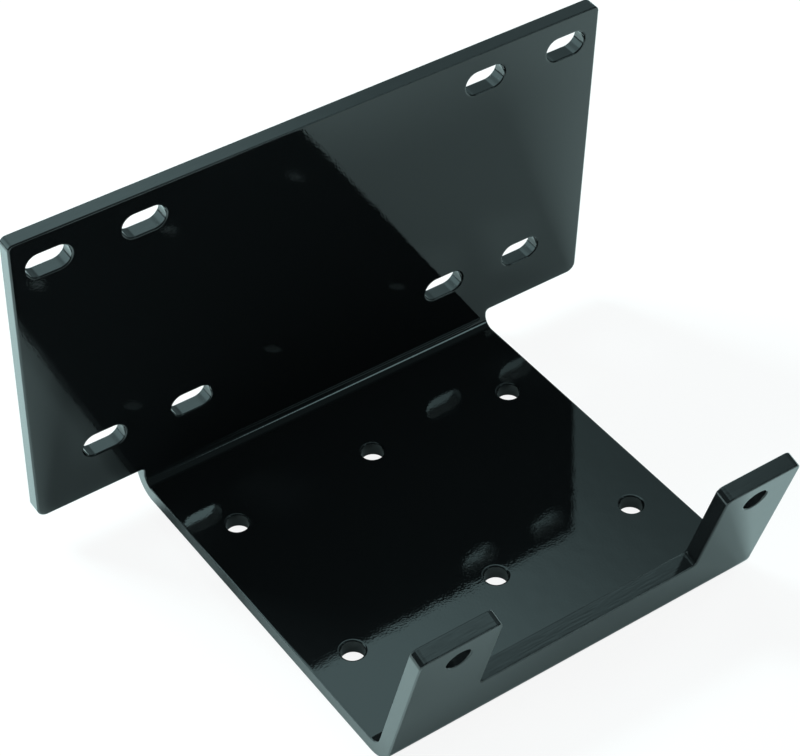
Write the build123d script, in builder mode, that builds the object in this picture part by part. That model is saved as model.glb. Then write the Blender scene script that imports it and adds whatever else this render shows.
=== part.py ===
"""Winch mount for an all-terrain vehicle: one laser-cut steel plate, folded twice in a press brake.

The winch bolts onto the flat deck. The wide upright behind it bolts to the vehicle's frame through
eight slots. The sheet turns up again at the front, where two ears carry the rope's fairlead, with
a low lip between them.

Millimetres. +X is the mount's right, +Y its rear and +Z up. The origin is the middle of the four
corner winch holes, on the deck's top face.
"""

import os
from math import cos, radians, sin

from build123d import *

# The sheet and its folds
sheet_thickness = 6.35
rear_bend_radius = 4.0
front_bend_radius = 6.0
upright_lean = 3.5
flange_lean = 17.5

# The deck, with its depth between the corners where the flat top faces would meet
deck_width = 157.7
deck_depth = 154.05

# The upright, measured along its front face from the deck's top face
upright_width = 246.3
upright_height = 139.3
flank_bottom = 7.1
upper_corner_radius = 2.5
lower_corner_radius = 4.0
relief_radius = 1.5

# The front flange, measured along its rear face from the deck's top face
flange_height = 68.8
lip_height = 25.7
ear_width = 32.6
ear_corner_radius = 3.0
lip_corner_radius = 1.5

# Winch holes in the deck, set back from the rear corner
winch_hole_diameter = 9.0
winch_hole_spacing = 123.8
winch_row_spacing = 76.2
winch_row_setback = 38.0
middle_hole_shift = 2.8

# Fairlead holes in the ears
fairlead_hole_diameter = 9.5
fairlead_hole_spacing = 123.8
fairlead_hole_height = 57.9

# Frame slots in the upright: a pair at each end of two rows
slot_length = 17.5
slot_width = 10.0
slot_pitch = 36.8
upper_row_height = 126.1
upper_row_inner_spacing = 143.6
lower_row_height = 31.3
lower_row_inner_spacing = 114.0

# Corners of the fold line in side view, on the faces that the winch sees
rear_y = winch_row_spacing / 2 + winch_row_setback
front_y = rear_y - deck_depth
upright_tip = (
    rear_y - upright_height * sin(radians(upright_lean)),
    upright_height * cos(radians(upright_lean)),
)
flange_tip = (
    front_y - flange_height * sin(radians(flange_lean)),
    flange_height * cos(radians(flange_lean)),
)

# Each face's own plane: local x to the right, local y up the sheet, normal towards the front
upright_face = Plane((0, rear_y, 0), x_dir=(1, 0, 0), z_dir=(0, -1, 0)).rotated((upright_lean, 0, 0))
flange_face = Plane((0, front_y, 0), x_dir=(1, 0, 0), z_dir=(0, -1, 0)).rotated((flange_lean, 0, 0))
upright_normal = Axis(upright_face.origin, upright_face.z_dir)
flange_normal = Axis(flange_face.origin, flange_face.z_dir)


def slot_places(row_height, inner_spacing):
    """Middles of the four slots in one row of the upright, from left to right."""
    inner = inner_spacing / 2
    outer = inner + slot_pitch
    return [(x, row_height) for x in (-outer, -inner, inner, outer)]


with BuildPart() as winch_mount_plate:
    # The folded strip, as wide as the deck: flange, front bend, deck, rear bend and upright
    with BuildSketch(Plane.YZ) as side_profile:
        with BuildLine() as fold_line:
            Polyline(flange_tip, (front_y, 0), (rear_y, 0), upright_tip)
            corners = fold_line.vertices().group_by(Axis.Y)[0].sort_by(Axis.X)
            fillet(corners[0], front_bend_radius)
            fillet(fold_line.vertices().sort_by_distance((rear_y, 0))[0], rear_bend_radius)
            offset(amount=sheet_thickness, side=Side.RIGHT)
        make_face()
    extrude(amount=deck_width / 2, both=True)

    # The upright's full width, which stands clear of the deck's sides
    with BuildSketch(upright_face) as panel_outline:
        with Locations((0, (upright_height + flank_bottom) / 2)):
            Rectangle(upright_width, upright_height - flank_bottom)
        fillet(panel_outline.vertices().group_by(Axis.Y)[0], lower_corner_radius)
        fillet(panel_outline.vertices().group_by(Axis.Y)[-1], upper_corner_radius)
    extrude(amount=-sheet_thickness)

    # Rounded relief corners, where the flanks' lower edges meet the bend
    relief_corners = [
        winch_mount_plate.edges()
        .filter_by(upright_normal)
        .sort_by_distance(upright_face.from_local_coords((side * deck_width / 2, flank_bottom)))[0]
        for side in (-1, 1)
    ]
    fillet(relief_corners, relief_radius)

    # The space between the ears, down to the lip
    with BuildSketch(flange_face) as ear_gap:
        gap_height = flange_height - lip_height
        with Locations((0, lip_height + gap_height)):
            Rectangle(deck_width - 2 * ear_width, 2 * gap_height)
        fillet(ear_gap.vertices().group_by(Axis.Y)[0], lip_corner_radius)
    extrude(amount=sheet_thickness, mode=Mode.SUBTRACT)

    # The ears' upper corners
    ear_top = Plane(flange_face.from_local_coords((0, flange_height)), z_dir=flange_face.y_dir)
    ear_corners = winch_mount_plate.edges().filter_by(flange_normal).filter_by(
        lambda edge: abs(ear_top.to_local_coords(edge.center()).Z) < sheet_thickness / 100
    )
    fillet(ear_corners, ear_corner_radius)

    # Slots for the bolts into the vehicle's frame
    with BuildSketch(upright_face) as frame_slots:
        with Locations(*slot_places(upper_row_height, upper_row_inner_spacing)):
            SlotOverall(slot_length, slot_width)
        with Locations(*slot_places(lower_row_height, lower_row_inner_spacing)):
            SlotOverall(slot_length, slot_width)
    extrude(amount=-sheet_thickness, mode=Mode.SUBTRACT)

    # Winch holes: four corners, and a middle pair whose rear hole is set further back
    with BuildSketch(Plane.XY) as winch_holes:
        with GridLocations(winch_hole_spacing, winch_row_spacing, 2, 2):
            Circle(winch_hole_diameter / 2)
        with Locations((0, winch_row_spacing / 2 + middle_hole_shift), (0, -winch_row_spacing / 2)):
            Circle(winch_hole_diameter / 2)
    extrude(amount=-sheet_thickness, mode=Mode.SUBTRACT)

    # Fairlead holes, one in each ear
    with BuildSketch(flange_face) as fairlead_holes:
        with Locations((0, fairlead_hole_height)):
            with GridLocations(fairlead_hole_spacing, 0, 2, 1):
                Circle(fairlead_hole_diameter / 2)
    extrude(amount=sheet_thickness, mode=Mode.SUBTRACT)

winch_mount_plate.part.label = "winch_mount_plate"

os.makedirs("parts", exist_ok=True)
export_step(winch_mount_plate.part, "parts/winch_mount_plate.step")
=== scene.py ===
"""The winch mount's looks: a folded steel plate with a gloss black powder coat, on a pale floor.

The plate is worked out as its flat blank first. Every point of the blank has a place across the
sheet (u), a place along the unfolded top face (s) and a depth below that face (d). One fold
function turns those three into the folded plate, so holes, slots, edges and bends all follow the
sheet. Sizes are millimetres here, and metres once they are in a mesh.
"""

import logging
import math
from dataclasses import dataclass, field
from enum import Enum

import bpy
import numpy as np
from mathutils import Matrix, Vector
from mathutils.geometry import delaunay_2d_cdt


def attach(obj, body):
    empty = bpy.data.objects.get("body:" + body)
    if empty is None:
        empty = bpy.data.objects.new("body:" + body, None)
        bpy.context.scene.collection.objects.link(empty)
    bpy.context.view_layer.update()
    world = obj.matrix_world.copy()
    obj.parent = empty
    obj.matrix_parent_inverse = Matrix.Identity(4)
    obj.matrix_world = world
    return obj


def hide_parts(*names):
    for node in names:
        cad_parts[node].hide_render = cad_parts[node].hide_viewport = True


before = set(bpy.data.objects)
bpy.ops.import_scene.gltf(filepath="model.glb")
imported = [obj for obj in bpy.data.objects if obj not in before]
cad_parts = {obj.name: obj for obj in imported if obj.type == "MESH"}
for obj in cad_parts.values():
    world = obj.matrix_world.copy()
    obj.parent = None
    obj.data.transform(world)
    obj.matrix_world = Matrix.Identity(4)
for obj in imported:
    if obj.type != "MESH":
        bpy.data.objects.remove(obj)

MM = 0.001

# Closer places than this are the same place, in millimetres or as a share of a side
SAME_PLACE = 1e-6

# The same for the triangulation, in millimetres
WELD = 1e-7

# A triangle gets no face if twice its area isn't above this, in square millimetres
SLIVER = 1e-9

log = logging.getLogger("winch_mount")


class Finish(Enum):
    """Which surface of the plate a face belongs to, as its place in the material slots."""

    FACE = 0
    CUT_EDGE = 1


def srgb(hex_colour: str) -> tuple[float, float, float, float]:
    """Turns a written sRGB colour into the linear one that a shader takes.

    By the sRGB standard a dark channel, up to 0.04045, is divided by 12.92. Of any other channel
    the sum with 0.055, over 1.055, is raised to the power of 2.4.

    Args:
        hex_colour: six hex digits, with or without a hash sign.

    Returns:
        Linear red, green, blue and a full alpha.
    """
    digits = hex_colour.lstrip("#")
    channels = [int(digits[i : i + 2], 16) / 255 for i in (0, 2, 4)]
    linear = [c / 12.92 if c <= 0.04045 else ((c + 0.055) / 1.055) ** 2.4 for c in channels]
    return (*linear, 1.0)


def add_node(tree: bpy.types.NodeTree, kind: str, links: dict | None = None, **settings) -> bpy.types.Node:
    """Adds one node, sets its properties, then its inputs' values, and links its inputs.

    Args:
        tree: the node tree that takes the node.
        kind: the node's type name without the ShaderNode part.
        links: input name or number to the output socket that feeds it.
        settings: a property of the node, or an input's value where the name starts with in_, with
            the input's name in lower case and underscores for its spaces, or its number.

    Returns:
        The new node.
    """
    node = tree.nodes.new("ShaderNode" + kind)
    by_name = {s.name.lower().replace(" ", "_"): s for s in reversed(node.inputs)}
    for name, value in settings.items():
        if not name.startswith("in_"):
            setattr(node, name, value)
    for name, value in settings.items():
        if name.startswith("in_"):
            key = name.removeprefix("in_")
            socket = node.inputs[int(key)] if key.isdigit() else by_name[key]
            socket.default_value = value
    for name, source in (links or {}).items():
        tree.links.new(source, node.inputs[name])
    return node


def empty_material(name: str) -> tuple[bpy.types.Material, bpy.types.NodeTree]:
    """Makes a material with an empty node tree.

    Args:
        name: the material's name.

    Returns:
        The material and its node tree.
    """
    made = bpy.data.materials.new(name)
    made.use_nodes = True
    made.node_tree.nodes.clear()
    return made, made.node_tree


@dataclass(frozen=True)
class GlossPowderCoat:
    """Gloss black polyester powder coat on flat rolled steel.

    The film melts and levels in the oven, which leaves a mirror-like skin with a faint orange
    peel: soft dimples about a millimetre across, on a longer and gentler swell, that break up the
    edges of what it mirrors. The film is a little hazier on the swell's crests.
    """

    colour: str = "#111112"
    ior: float = 1.52
    roughness: float = 0.025
    haze_share: tuple[float, float] = (0.8, 1.25)
    peel_cell: float = 0.8
    peel_height: float = 0.0095
    peel_detail: float = 1.5
    peel_grain: float = 0.45
    swell_cell: float = 9.0
    swell_height: float = 0.02
    swell_detail: float = 1.0
    swell_range: tuple[float, float] = (0.3, 0.7)

    def material(self) -> bpy.types.Material:
        """Builds the coat's node tree and returns the material."""
        made, tree = empty_material("gloss_black_powder_coat")
        place = add_node(tree, "TexCoord").outputs["Object"]
        peel = add_node(tree, "TexNoise", {"Vector": place}, in_scale=1 / (self.peel_cell * MM),
                        in_detail=self.peel_detail, in_roughness=self.peel_grain)
        swell = add_node(tree, "TexNoise", {"Vector": place}, in_scale=1 / (self.swell_cell * MM),
                         in_detail=self.swell_detail)
        wide = add_node(tree, "Bump", {"Height": swell.outputs["Fac"]}, in_distance=self.swell_height * MM,
                        in_strength=1.0)
        fine = add_node(tree, "Bump", {"Height": peel.outputs["Fac"], "Normal": wide.outputs["Normal"]},
                        in_distance=self.peel_height * MM, in_strength=1.0)
        clear, hazy = self.haze_share
        low, high = self.swell_range
        haze = add_node(tree, "MapRange", {"Value": swell.outputs["Fac"]}, in_from_min=low, in_from_max=high,
                        in_to_min=self.roughness * clear, in_to_max=self.roughness * hazy)
        skin = add_node(tree, "BsdfPrincipled",
                        {"Normal": fine.outputs["Normal"], "Roughness": haze.outputs["Result"]},
                        in_base_color=srgb(self.colour), in_ior=self.ior)
        add_node(tree, "OutputMaterial", {"Surface": skin.outputs["BSDF"]})
        return made


@dataclass(frozen=True)
class CutEdgeCoat:
    """The same powder coat over the laser-cut edge of the plate.

    The melting film sags and pulls back along a cut edge, which leaves soft streaks that run along
    it. They are a fraction of a millimetre wide in the photograph and several millimetres long.
    """

    colour: str = "#111112"
    ior: float = 1.55
    roughness: float = 0.1
    dull_share: tuple[float, float] = (0.6, 1.6)
    streak_length: float = 7.0
    streak_width: float = 0.7
    streak_height: float = 0.014
    streak_detail: float = 3.0
    streak_grain: float = 0.55
    streak_range: tuple[float, float] = (0.35, 0.65)
    run_map: str = "edge_run"

    def material(self) -> bpy.types.Material:
        """Builds the edge's node tree and returns the material."""
        made, tree = empty_material("powder_coat_over_laser_cut_edge")
        run = add_node(tree, "UVMap", uv_map=self.run_map)
        drawn = add_node(tree, "Mapping", {"Vector": run.outputs["UV"]},
                         in_scale=(1 / (self.streak_length * MM), 1 / (self.streak_width * MM), 1.0))
        streaks = add_node(tree, "TexNoise", {"Vector": drawn.outputs["Vector"]}, in_scale=1.0,
                           in_detail=self.streak_detail, in_roughness=self.streak_grain)
        relief = add_node(tree, "Bump", {"Height": streaks.outputs["Fac"]}, in_strength=1.0,
                          in_distance=self.streak_height * MM)
        glossy, matt = self.dull_share
        low, high = self.streak_range
        dull = add_node(tree, "MapRange", {"Value": streaks.outputs["Fac"]}, in_from_min=low,
                        in_from_max=high, in_to_min=self.roughness * glossy, in_to_max=self.roughness * matt)
        skin = add_node(tree, "BsdfPrincipled",
                        {"Normal": relief.outputs["Normal"], "Roughness": dull.outputs["Result"]},
                        in_base_color=srgb(self.colour), in_ior=self.ior)
        add_node(tree, "OutputMaterial", {"Surface": skin.outputs["BSDF"]})
        return made


@dataclass
class FoldedSheet:
    """The sheet's two folds, and the map from the flat blank to the folded plate.

    The deck's depth runs between the lines where the flat top faces would meet.
    """

    thickness: float = 6.35
    deck_depth: float = 154.05
    rear_y: float = 76.1
    rear_radius: float = 4.0
    front_radius: float = 6.0
    upright_lean: float = math.radians(3.5)
    flange_lean: float = math.radians(17.5)
    steps: int = 16

    def __post_init__(self) -> None:
        """Works out each bend's turn, its tangent length and its ends along the blank."""
        self.front_y = self.rear_y - self.deck_depth
        self.rear_turn = math.pi / 2 + self.upright_lean
        self.front_turn = math.pi / 2 - self.flange_lean
        self.rear_tangent = self.rear_radius * math.tan(self.rear_turn / 2)
        self.front_tangent = self.front_radius * math.tan(self.front_turn / 2)
        self.rear_start = self.rear_y - self.rear_tangent
        self.front_start = self.front_y + self.front_tangent
        self.rear_end = self.rear_start + self.rear_radius * self.rear_turn
        self.front_end = self.front_start - self.front_radius * self.front_turn

    def up_the_upright(self, height: float) -> float:
        """Place on the blank of a height up the upright's front face, from the deck's corner line."""
        return self.rear_end + height - self.rear_tangent

    def up_the_flange(self, height: float) -> float:
        """Place on the blank of a height up the flange's rear face, from the deck's corner line."""
        return self.front_end - height + self.front_tangent

    def bend_lines(self) -> np.ndarray:
        """Places along the blank that split each bend into equal steps, its ends included."""
        rear = np.linspace(self.rear_start, self.rear_end, self.steps + 1)
        front = np.linspace(self.front_end, self.front_start, self.steps + 1)
        return np.concatenate([front, rear])

    def turns(self, s: np.ndarray) -> tuple[np.ndarray, np.ndarray]:
        """How far the sheet has turned: evenly through each bend, and no more on the flats.

        Args:
            s: places along the blank.

        Returns:
            The turn angle of the rear bend and that of the front bend, which grows as s falls.
        """
        rear = np.clip((s - self.rear_start) / self.rear_radius, 0.0, self.rear_turn)
        front = np.clip((self.front_start - s) / self.front_radius, 0.0, self.front_turn)
        return rear, front

    def tangents(self, s: np.ndarray) -> tuple[np.ndarray, np.ndarray]:
        """Direction along the sheet, pointing to the rear and up the upright.

        Its angle above the deck is the rear bend's turn less the front bend's.

        Args:
            s: places along the blank.

        Returns:
            The direction's y and z parts.
        """
        rear, front = self.turns(s)
        angle = rear - front
        return np.cos(angle), np.sin(angle)

    def fold(self, u: np.ndarray, s: np.ndarray, d: np.ndarray) -> np.ndarray:
        """Folds points of the blank.

        On the flats a point moves straight along the sheet's direction. In a bend of inner radius
        r it lies on a circle of radius r about the bend's centre, which stands r above the deck.
        The depth then moves it away from the top face, along the face's normal.

        Args:
            u: places across the sheet.
            s: places along the unfolded top face.
            d: depths below the top face.

        Returns:
            Points in metres, one row each.
        """
        along_y, along_z = self.tangents(s)
        rear, front = self.turns(s)
        y = np.clip(s, self.front_start, self.rear_start)
        y = y + self.rear_radius * np.sin(rear) - self.front_radius * np.sin(front)
        z = self.rear_radius * (1 - np.cos(rear)) + self.front_radius * (1 - np.cos(front))
        past = np.clip(s - self.rear_end, 0.0, None) + np.clip(s - self.front_end, None, 0.0)
        y = y + past * along_y + d * along_z
        z = z + past * along_z - d * along_y
        return np.stack([u, y, z], axis=-1) * MM

    def fold_normals(self, s: np.ndarray, flat: np.ndarray) -> np.ndarray:
        """Turns normals of the blank with the sheet.

        Args:
            s: places along the blank.
            flat: unit normals on the blank: across, along, and up out of the top face.

        Returns:
            The folded plate's unit normals, one row each.
        """
        along_y, along_z = self.tangents(s)
        y = flat[..., 1] * along_y - flat[..., 2] * along_z
        z = flat[..., 1] * along_z + flat[..., 2] * along_y
        return np.stack([flat[..., 0], y, z], axis=-1)


def rounded_loop(
    corners: np.ndarray, radii: np.ndarray, stops: np.ndarray, steps: int
) -> tuple[np.ndarray, np.ndarray]:
    """A closed outline with rounded corners, run counter-clockwise.

    Each corner becomes an arc: its centre lies on the corner's bisector at radius over the sine of
    half the corner's angle, and its ends lie where the arc meets the sides. Straight sides get a
    point at each of the stops that they cross, so that bend lines end on points of the outline.

    Args:
        corners: the sharp outline's corners.
        radii: each corner's radius.
        stops: places along the blank where straight sides need a point.
        steps: chords in each arc.

    Returns:
        The outline's points and its outward unit normals.
    """
    into = corners - np.roll(corners, 1, axis=0)
    into /= np.linalg.norm(into, axis=1, keepdims=True)
    out = np.roll(into, -1, axis=0)
    turn = np.arctan2(into[:, 0] * out[:, 1] - into[:, 1] * out[:, 0], np.sum(into * out, axis=1))
    cut = radii * np.tan(np.abs(turn) / 2)
    side = np.sign(turn)[:, None]
    left = np.stack([-into[:, 1], into[:, 0]], axis=1)
    centres = corners - into * cut[:, None] + left * side * radii[:, None]
    share = np.linspace(0.0, 1.0, steps + 1)
    angle = turn[:, None] * share[None, :]
    start = -left
    normals = (start[:, None, :] * np.cos(angle)[..., None]
               + np.stack([-start[:, 1], start[:, 0]], axis=1)[:, None, :] * np.sin(angle)[..., None])
    arcs = centres[:, None, :] + normals * (side * radii[:, None])[:, None, :]
    points, outward = [], []
    for k in range(len(corners)):
        points.append(arcs[k])
        outward.append(normals[k])
        a, b = arcs[k][-1], arcs[(k + 1) % len(corners)][0]
        if abs(b[1] - a[1]) > SAME_PLACE:
            share_at = (stops - a[1]) / (b[1] - a[1])
            share_at = np.sort(share_at[(share_at > SAME_PLACE) & (share_at < 1 - SAME_PLACE)])
            points.append(a + (b - a) * share_at[:, None])
            outward.append(np.repeat(normals[k][-1:], len(share_at), axis=0))
    return np.concatenate(points), np.concatenate(outward)


def stadium_loop(
    centre: tuple[float, float], length: float, width: float, steps: int
) -> tuple[np.ndarray, np.ndarray]:
    """The edge of a slot, or of a round hole where length and width are the same.

    Points run clockwise round two half circles whose centres stand half of length less width
    either side of the middle, so that normals which point out of the steel point into the slot.

    Args:
        centre: the slot's middle.
        length: size across the sheet, end to end.
        width: size along the sheet.
        steps: chords in each half circle.

    Returns:
        The edge's points and the unit normals that point out of the steel.
    """
    half = (length - width) / 2
    right = np.linspace(math.pi / 2, -math.pi / 2, steps + 1)
    left = np.linspace(-math.pi / 2, -3 * math.pi / 2, steps + 1)
    if half < SAME_PLACE:
        right, left = right[:-1], left[:-1]
    angle = np.concatenate([right, left])
    shift = np.concatenate([np.full(len(right), half), np.full(len(left), -half)])
    ring = np.stack([np.cos(angle), np.sin(angle)], axis=1)
    points = ring * width / 2 + np.stack([shift, np.zeros_like(shift)], axis=1) + np.asarray(centre)
    return points, -ring


@dataclass
class MountPlate:
    """The whole winch mount: one folded plate with its holes, slots, ears and coated edges."""

    sheet: FoldedSheet = field(default_factory=FoldedSheet)
    deck_width: float = 157.7
    upright_width: float = 246.3
    upright_height: float = 139.3
    flank_bottom: float = 7.1
    upper_corner_radius: float = 2.5
    lower_corner_radius: float = 4.0
    relief_radius: float = 1.5
    flange_height: float = 68.8
    lip_height: float = 25.7
    ear_width: float = 32.6
    ear_corner_radius: float = 3.0
    lip_corner_radius: float = 1.5
    winch_hole: float = 9.0
    winch_spacing: tuple[float, float] = (123.8, 76.2)
    middle_hole_shift: float = 2.8
    fairlead_hole: float = 9.5
    fairlead_spacing: float = 123.8
    fairlead_height: float = 57.9
    slot_size: tuple[float, float] = (17.5, 10.0)
    slot_pitch: float = 36.8
    slot_rows: tuple[tuple[float, float], ...] = ((126.1, 143.6), (31.3, 114.0))
    edge_reach: float = 0.75
    edge_drop: float = 0.6
    edge_steps: int = 9
    wall_steps: int = 4
    arc_steps: int = 14
    hole_steps: int = 36

    def outline(self) -> tuple[np.ndarray, np.ndarray]:
        """The blank's outer edge, from the left ear round by the right to the upright and back."""
        deck, wide, gap = self.deck_width / 2, self.upright_width / 2, self.deck_width / 2 - self.ear_width
        ear = self.sheet.up_the_flange(self.flange_height)
        lip = self.sheet.up_the_flange(self.lip_height)
        low = self.sheet.up_the_upright(self.flank_bottom)
        top = self.sheet.up_the_upright(self.upright_height)
        corners = np.array([
            (-deck, ear), (-gap, ear), (-gap, lip), (gap, lip), (gap, ear), (deck, ear),
            (deck, low), (wide, low), (wide, top), (-wide, top), (-wide, low), (-deck, low),
        ])
        ear_r, lip_r, relief = self.ear_corner_radius, self.lip_corner_radius, self.relief_radius
        low_r, up_r = self.lower_corner_radius, self.upper_corner_radius
        radii = np.array([ear_r, ear_r, lip_r, lip_r, ear_r, ear_r, relief, low_r, up_r, up_r, low_r, relief])
        return rounded_loop(corners, radii, self.sheet.bend_lines(), self.arc_steps)

    def hole_table(self) -> list[tuple[tuple[float, float], float, float]]:
        """Middle on the blank, length and width of every hole and slot."""
        across, along = self.winch_spacing
        table = [((x, y), self.winch_hole, self.winch_hole)
                 for x in (-across / 2, across / 2) for y in (-along / 2, along / 2)]
        table += [((0.0, -along / 2), self.winch_hole, self.winch_hole),
                  ((0.0, along / 2 + self.middle_hole_shift), self.winch_hole, self.winch_hole)]
        ear = self.sheet.up_the_flange(self.fairlead_height)
        table += [((x, ear), self.fairlead_hole, self.fairlead_hole)
                  for x in (-self.fairlead_spacing / 2, self.fairlead_spacing / 2)]
        for height, inner in self.slot_rows:
            s = self.sheet.up_the_upright(height)
            for x in (-inner / 2 - self.slot_pitch, -inner / 2, inner / 2, inner / 2 + self.slot_pitch):
                table.append(((x, s), *self.slot_size))
        return table

    def edge_profile(self) -> tuple[np.ndarray, np.ndarray, np.ndarray, np.ndarray]:
        """The coated edge in section, from the top face round to the bottom face.

        A quarter ellipse leads from the face to the wall: it reaches in over the face by edge_reach
        and down the wall by edge_drop. The wall runs straight through the sheet, and the same
        quarter ellipse leads out to the other face. At the ellipse's angle phi the normal's outward
        and upward parts are in the ratio of sin(phi) / reach to cos(phi) / drop.

        Returns:
            Inset from the outline, depth, the normal's outward part and its upward part.
        """
        reach, drop, t = self.edge_reach, self.edge_drop, self.sheet.thickness
        phi = np.linspace(0.0, math.pi / 2, self.edge_steps + 1)
        wall = np.linspace(drop, t - drop, self.wall_steps + 1)[1:-1]
        out, up = np.sin(phi) / reach, np.cos(phi) / drop
        out, up = out / np.hypot(out, up), up / np.hypot(out, up)
        inset = np.concatenate([reach * (1 - np.sin(phi)), 0 * wall, reach * (1 - np.cos(phi))])
        depth = np.concatenate([drop * (1 - np.cos(phi)), wall, t - drop * (1 - np.sin(phi))])
        outward = np.concatenate([out, 1 + 0 * wall, out[::-1]])
        upward = np.concatenate([up, 0 * wall, -up[::-1]])
        return inset, depth, outward, upward

    def build(self) -> bpy.types.Object:
        """Makes the plate's mesh and dresses it.

        Returns:
            The plate, in place of the plain one.
        """
        inset, depth, outward, upward = self.edge_profile()
        loops = [self.outline()] + [stadium_loop(c, a, b, self.hole_steps) for c, a, b in self.hole_table()]
        flat, normal, quads, rims, runs, first = [], [], [], [], [], 0
        for points, out in loops:
            n, m = len(points), len(inset)
            place = points[:, None, :] - out[:, None, :] * inset[None, :, None]
            side = out[:, None, :] * outward[None, :, None]
            flat.append(self.with_third(place, depth))
            normal.append(self.with_third(side, upward))
            index = first + np.arange(n * m).reshape(n, m)
            after = np.roll(index, -1, axis=0)
            around = [index[:, :-1], index[:, 1:], after[:, 1:], after[:, :-1]]
            quads.append(np.stack(around, axis=-1).reshape(-1, 4))
            rims.append(index[:, 0])
            runs.append(self.edge_run(points, depth))
            first += n * m
        flat, normal, quads = np.concatenate(flat), np.concatenate(normal), np.concatenate(quads)
        top = self.face_triangles(flat, rims)
        bottom = top[:, ::-1] + (len(inset) - 1)
        plate = self.mesh_object(flat, normal, quads, np.concatenate([top, bottom]))
        run_map = plate.data.uv_layers.new(name=CutEdgeCoat.run_map)
        corners = np.zeros((len(plate.data.loops), 2), dtype=np.float32)
        runs = np.concatenate(runs)
        corners[: len(runs)] = runs * MM
        run_map.uv.foreach_set("vector", corners.ravel())
        return plate

    @staticmethod
    def with_third(pairs: np.ndarray, third: np.ndarray) -> np.ndarray:
        """Gives the pairs of a grid their third value and lists them.

        Args:
            pairs: pairs on a grid of edge points by points of the section.
            third: one value for each point of the section, the same all along the edge.

        Returns:
            Triples, one row each.
        """
        column = np.broadcast_to(third[None, :, None], (*pairs.shape[:2], 1))
        return np.concatenate([pairs, column], axis=2).reshape(-1, 3)

    @staticmethod
    def edge_run(points: np.ndarray, depth: np.ndarray) -> np.ndarray:
        """Places of one coated edge's face corners: along the edge and through the sheet.

        Args:
            points: the closed edge's points on the blank.
            depth: depths of the edge's section.

        Returns:
            One row for each corner of each four-sided face, in the faces' own order.
        """
        steps = np.linalg.norm(np.roll(points, -1, axis=0) - points, axis=1)
        along = np.concatenate([[0.0], np.cumsum(steps)])
        here, after = np.broadcast_arrays(along[:-1, None], along[1:, None])
        above, below = depth[None, :-1], depth[None, 1:]
        corners = [(here, above), (here, below), (after, below), (after, above)]
        return np.stack([np.stack(np.broadcast_arrays(*c), axis=-1) for c in corners], axis=2).reshape(-1, 2)

    def face_triangles(self, flat: np.ndarray, rims: list[np.ndarray]) -> np.ndarray:
        """Fills the top face between the outline and the holes.

        Args:
            flat: every point of the blank.
            rims: the top face's border points, one run for each loop, the outline first.

        Returns:
            Triangles that look up, as point numbers.
        """
        ids = np.concatenate(rims)
        where = flat[ids, :2]
        edges, start = [], 0
        for rim in rims:
            run = start + np.arange(len(rim))
            edges.append(np.stack([run, np.roll(run, -1)], axis=1))
            start += len(rim)
        border = where[: len(rims[0])]
        for line in self.sheet.bend_lines():
            ends = np.flatnonzero(np.abs(border[:, 1] - line) < SAME_PLACE)
            edges.append(np.array([[ends[np.argmin(border[ends, 0])], ends[np.argmax(border[ends, 0])]]]))
        edges = np.concatenate(edges)
        out = delaunay_2d_cdt([Vector(p) for p in where], edges.tolist(), [], 1, WELD, True)
        back = np.array([origin[0] for origin in out[3]])
        triangles = back[np.array(out[2])]
        middle = where[triangles].mean(axis=1)
        solid = self.inside_outline(middle, border)
        start = len(border)
        for rim in rims[1:]:
            solid &= ~self.inside_outline(middle, where[start : start + len(rim)])
            start += len(rim)
        triangles = triangles[solid]
        a, b, c = (where[triangles[:, k]] for k in range(3))
        area = (b[:, 0] - a[:, 0]) * (c[:, 1] - a[:, 1]) - (b[:, 1] - a[:, 1]) * (c[:, 0] - a[:, 0])
        triangles[area < 0] = triangles[area < 0][:, ::-1]
        return ids[triangles[np.abs(area) > SLIVER]]

    @staticmethod
    def inside_outline(points: np.ndarray, border: np.ndarray) -> np.ndarray:
        """Tells which points lie inside a closed border, by counting the sides that a ray crosses."""
        x, y = points[:, 0][:, None], points[:, 1][:, None]
        x0, y0 = border[:, 0][None, :], border[:, 1][None, :]
        x1, y1 = np.roll(border[:, 0], -1)[None, :], np.roll(border[:, 1], -1)[None, :]
        spans = (y0 > y) != (y1 > y)
        rise = np.where(y1 == y0, 1.0, y1 - y0)
        crossing = spans & (x < (x1 - x0) * (y - y0) / rise + x0)
        return crossing.sum(axis=1) % 2 == 1

    def mesh_object(
        self, flat: np.ndarray, normal: np.ndarray, quads: np.ndarray, triangles: np.ndarray
    ) -> bpy.types.Object:
        """Folds the blank, puts it into a mesh and gives it its finishes.

        Args:
            flat: points of the blank: across, along and depth.
            normal: their unit normals on the blank.
            quads: the coated edges' faces.
            triangles: both flat sides' faces.

        Returns:
            The finished plate.
        """
        points = self.sheet.fold(flat[:, 0], flat[:, 1], flat[:, 2])
        normals = self.sheet.fold_normals(flat[:, 1], normal)
        mesh = bpy.data.meshes.new("winch_mount_coated")
        mesh.from_pydata(points.tolist(), [], quads.tolist() + triangles.tolist())
        finish = np.full(len(mesh.polygons), Finish.FACE.value, dtype=np.int32)
        finish[: len(quads)] = Finish.CUT_EDGE.value
        for coat in (GlossPowderCoat(), CutEdgeCoat()):
            mesh.materials.append(coat.material())
        mesh.polygons.foreach_set("material_index", finish)
        mesh.polygons.foreach_set("use_smooth", np.ones(len(mesh.polygons), dtype=bool))
        mesh.normals_split_custom_set_from_vertices(normals.tolist())
        mesh.update()
        plate = bpy.data.objects.new("winch_mount_coated", mesh)
        bpy.context.scene.collection.objects.link(plate)
        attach(plate, "root")
        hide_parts("winch_mount_plate")
        return plate


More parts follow.
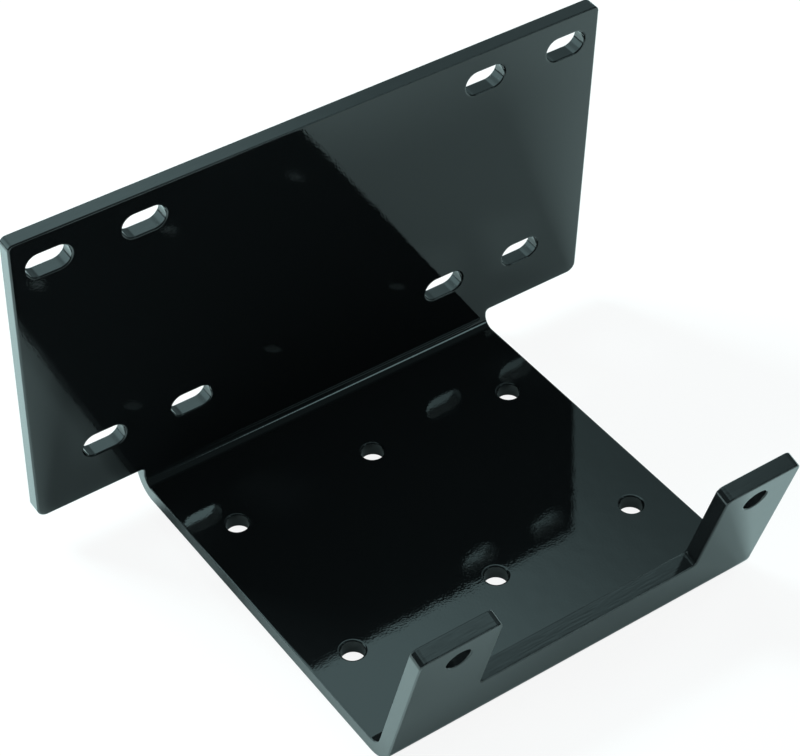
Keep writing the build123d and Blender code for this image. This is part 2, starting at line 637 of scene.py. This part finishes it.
@dataclass
class ProductCamera:
    """The camera, at the photograph's viewing angle."""

    place: tuple[float, float, float] = (-369.74, -527.81, 646.44)
    aim: tuple[float, float, float] = (60.22, 94.80, 0.0)
    roll: float = math.radians(-0.557)
    lens: float = 111.115
    sensor_width: float = 36.0
    shift: tuple[float, float] = (-0.0264, -0.0777)
    clip: tuple[float, float] = (0.01, 50.0)

    def build(self) -> bpy.types.Object:
        """Places the camera and makes it the scene's own."""
        data = bpy.data.cameras.new("product_camera")
        data.lens, data.sensor_width, data.sensor_fit = self.lens, self.sensor_width, "HORIZONTAL"
        data.shift_x, data.shift_y = self.shift
        data.clip_start, data.clip_end = self.clip
        camera = bpy.data.objects.new("product_camera", data)
        bpy.context.scene.collection.objects.link(camera)
        place, aim = Vector(self.place) * MM, Vector(self.aim) * MM
        level = (aim - place).to_track_quat("-Z", "Y").to_matrix().to_4x4()
        camera.matrix_world = Matrix.Translation(place) @ level @ Matrix.Rotation(self.roll, 4, "Z")
        bpy.context.scene.camera = camera
        return camera


def direction(azimuth: float, elevation: float) -> Vector:
    """Unit vector towards an azimuth, counted from the rear to the right, and an elevation, in degrees."""
    a, e = math.radians(azimuth), math.radians(elevation)
    return Vector((math.sin(a) * math.cos(e), math.cos(a) * math.cos(e), math.sin(e)))


@dataclass(frozen=True)
class Softbox:
    """A square soft lamp that looks at the mount. The camera and mirror images don't show it."""

    name: str
    azimuth: float
    elevation: float
    distance: float
    size: float
    radiance: float
    colour: str = "#deffff"

    def build(self) -> bpy.types.Object:
        """Makes the lamp; its power is radiance times area times pi."""
        data = bpy.data.lights.new(self.name, "AREA")
        data.shape, data.size = "SQUARE", self.size
        data.energy = self.radiance * self.size**2 * math.pi
        data.color = srgb(self.colour)[:3]
        lamp = bpy.data.objects.new(self.name, data)
        bpy.context.scene.collection.objects.link(lamp)
        way = direction(self.azimuth, self.elevation)
        lamp.location = way * self.distance
        lamp.rotation_mode = "QUATERNION"
        lamp.rotation_quaternion = (-way).to_track_quat("-Z", "Y")
        lamp.visible_camera = lamp.visible_glossy = False
        return lamp


@dataclass(frozen=True)
class CeilingBox:
    """A wide soft lamp over the mount's rear, as mirror images show it.

    A direction's place on the ceiling is its run to the right and to the rear for each unit that
    it rises. The box is bright between its edges. Each edge is a band: its first place is where
    the box is fully bright and its second is where it ends.
    """

    right: tuple[float, float] = (0.48, 0.70)
    left: tuple[float, float] = (-0.5, -0.75)
    front: tuple[float, float] = (0.03, -0.05)
    rear: tuple[float, float] = (0.80, 1.45)
    radiance: float = 1.08
    least_rise: float = 0.01

    def glow(self, tree: bpy.types.NodeTree, way: bpy.types.NodeSocket) -> bpy.types.NodeSocket:
        """Radiance that the box adds in a direction.

        Args:
            tree: the room's node tree.
            way: the direction that is looked in.

        Returns:
            The socket with the added radiance.
        """
        part = add_node(tree, "SeparateXYZ", {0: way})
        above = add_node(tree, "Math", {0: part.outputs["Z"]}, operation="MAXIMUM", in_1=self.least_rise)
        rise = above.outputs[0]
        total = add_node(tree, "Value").outputs[0]
        total.default_value = self.radiance
        for axis, edges in (("X", (self.right, self.left)), ("Y", (self.front, self.rear))):
            run = add_node(tree, "Math", {0: part.outputs[axis], 1: rise}, operation="DIVIDE").outputs[0]
            for bright, dark in edges:
                fade = add_node(tree, "MapRange", {"Value": run}, interpolation_type="SMOOTHSTEP",
                                in_from_min=dark, in_from_max=bright, in_to_min=0.0, in_to_max=1.0)
                within = add_node(tree, "Math", {0: total, 1: fade.outputs["Result"]}, operation="MULTIPLY")
                total = within.outputs[0]
        return total


@dataclass(frozen=True)
class ReflectorPanel:
    """A round white panel of the room, whose light fades out towards its rim."""

    azimuth: float
    elevation: float
    bright_angle: float
    rim_angle: float
    radiance: float

    def glow(self, tree: bpy.types.NodeTree, way: bpy.types.NodeSocket) -> bpy.types.NodeSocket:
        """Radiance that the panel adds in a direction.

        The cosine of the angle between the direction and the panel's middle rises smoothly from
        none at the rim angle to the full radiance at the bright angle.

        Args:
            tree: the room's node tree.
            way: the direction that is looked in.

        Returns:
            The socket with the added radiance.
        """
        middle = tuple(direction(self.azimuth, self.elevation))
        rim, bright = (math.cos(math.radians(angle)) for angle in (self.rim_angle, self.bright_angle))
        near = add_node(tree, "VectorMath", {0: way}, operation="DOT_PRODUCT", in_1=middle)
        glow = add_node(tree, "MapRange", {"Value": near.outputs["Value"]}, interpolation_type="SMOOTHSTEP",
                        in_from_min=rim, in_from_max=bright, in_to_min=0.0, in_to_max=self.radiance)
        return glow.outputs["Result"]


@dataclass
class Studio:
    """The pale floor, the pale room round it, its ceiling box, reflector panels and soft lamps."""

    floor_height: float = -6.37
    floor_size: float = 12000.0
    floor_colour: str = "#fafafa"
    floor_white: float = 0.9
    room_tint: str = "#d3fcff"
    room_light: float = 0.18
    room_mirrored: float = 0.1
    panels: tuple[CeilingBox | ReflectorPanel, ...] = (
        CeilingBox(),
        ReflectorPanel(azimuth=40.0, elevation=38.0, bright_angle=25.0, rim_angle=42.0, radiance=0.36),
        ReflectorPanel(azimuth=150.0, elevation=25.5, bright_angle=4.0, rim_angle=8.0, radiance=3.2),
        ReflectorPanel(azimuth=-42.0, elevation=22.0, bright_angle=14.0, rim_angle=26.0, radiance=2.0),
    )
    softboxes: tuple[Softbox, ...] = (
        Softbox("rear_key", azimuth=-27.0, elevation=42.0, distance=1.3, size=0.47, radiance=43.0),
        Softbox("top_fill", azimuth=5.0, elevation=72.0, distance=1.3, size=0.9, radiance=1.4),
        Softbox("side_fill", azimuth=105.0, elevation=48.0, distance=2.5, size=0.8, radiance=7.0),
        Softbox("front_fill", azimuth=185.0, elevation=55.0, distance=2.5, size=0.8, radiance=4.2),
    )

    def build(self) -> None:
        """Makes the floor, the room and the lamps."""
        self.build_floor()
        self.build_room()
        for softbox in self.softboxes:
            softbox.build()

    def build_floor(self) -> bpy.types.Object:
        """Makes the floor: matt near-white paper, mostly plain white to the camera, with soft shadows."""
        half, z = self.floor_size / 2, self.floor_height
        corners = np.array([(-half, -half, z), (half, -half, z), (half, half, z), (-half, half, z)]) * MM
        mesh = bpy.data.meshes.new("studio_floor")
        mesh.from_pydata(corners.tolist(), [], [(0, 1, 2, 3)])
        floor = bpy.data.objects.new("studio_floor", mesh)
        bpy.context.scene.collection.objects.link(floor)
        made, tree = empty_material("matt_white_paper")
        path = add_node(tree, "LightPath")
        paper = add_node(tree, "BsdfDiffuse", in_color=srgb(self.floor_colour))
        white = add_node(tree, "Emission", in_strength=1.0)
        share = add_node(tree, "Math", {0: path.outputs["Is Camera Ray"]}, operation="MULTIPLY",
                         in_1=self.floor_white)
        seen = add_node(tree, "MixShader", {0: share.outputs[0], 1: paper.outputs[0], 2: white.outputs[0]})
        add_node(tree, "OutputMaterial", {"Surface": seen.outputs[0]})
        mesh.materials.append(made)
        return floor

    def build_room(self) -> None:
        """Makes the room: white to the camera, panels in mirror images, and even soft light for the rest."""
        world = bpy.data.worlds.new("studio_room")
        bpy.context.scene.world = world
        world.use_nodes = True
        tree = world.node_tree
        tree.nodes.clear()
        path = add_node(tree, "LightPath")
        way = add_node(tree, "TexCoord").outputs["Generated"]
        total = add_node(tree, "Value").outputs[0]
        total.default_value = self.room_mirrored
        for panel in self.panels:
            total = add_node(tree, "Math", {0: total, 1: panel.glow(tree, way)}, operation="ADD").outputs[0]
        strength = add_node(tree, "Mix", {"Factor": path.outputs["Is Glossy Ray"], "B": total},
                            in_a=self.room_light)
        tinted = add_node(tree, "Background", {"Strength": strength.outputs[0]},
                          in_color=srgb(self.room_tint))
        white = add_node(tree, "Background", in_color=srgb("#ffffff"), in_strength=1.0)
        mixed = add_node(tree, "MixShader",
                         {0: path.outputs["Is Camera Ray"], 1: tinted.outputs[0], 2: white.outputs[0]})
        add_node(tree, "OutputWorld", {"Surface": mixed.outputs[0]})


def main() -> None:
    """Builds the plate, the studio and the camera."""
    logging.basicConfig(level=logging.INFO, format="%(name)s: %(message)s")
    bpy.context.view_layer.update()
    view = bpy.context.scene.view_settings
    view.view_transform = "Standard"
    plate = MountPlate().build()
    log.info("%s: %d points, %d faces", plate.name, len(plate.data.vertices), len(plate.data.polygons))
    Studio().build()
    ProductCamera().build()


if __name__ == "__main__":
    main()
